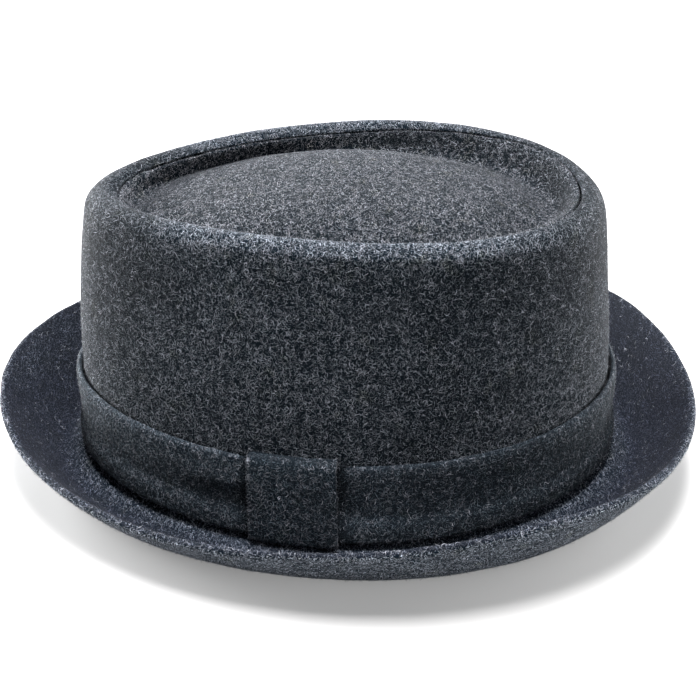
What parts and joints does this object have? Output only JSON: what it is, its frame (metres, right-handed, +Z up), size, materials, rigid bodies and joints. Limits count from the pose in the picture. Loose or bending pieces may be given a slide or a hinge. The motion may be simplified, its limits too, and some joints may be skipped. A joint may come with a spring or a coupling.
{
  "type": "porkpie hat",
  "caption": "Felt porkpie hat with a creased flat-topped crown, a short turned-up brim and a felt band held by a loop on the wearer's left.",
  "frame": {"origin": "the middle of the overall box in plan, on the plane that the brim's lowest ring rests on", "axes": "+Z up out of the crown, -Y the way the wearer looks, +Y the hat's back, +X the wearer's left, where the band's loop sits"},
  "size_m": [0.2538, 0.2758, 0.1146],
  "materials": {
    "felt": "heathered charcoal wool felt",
    "band_felt": "the same felt, a little darker"
  },
  "bodies": {
    "root": {"crown_side": "felt", "crown_tip": "felt", "brim": "felt", "hat_band": "band_felt", "band_keeper": "band_felt"}
  },
  "joints": []
}
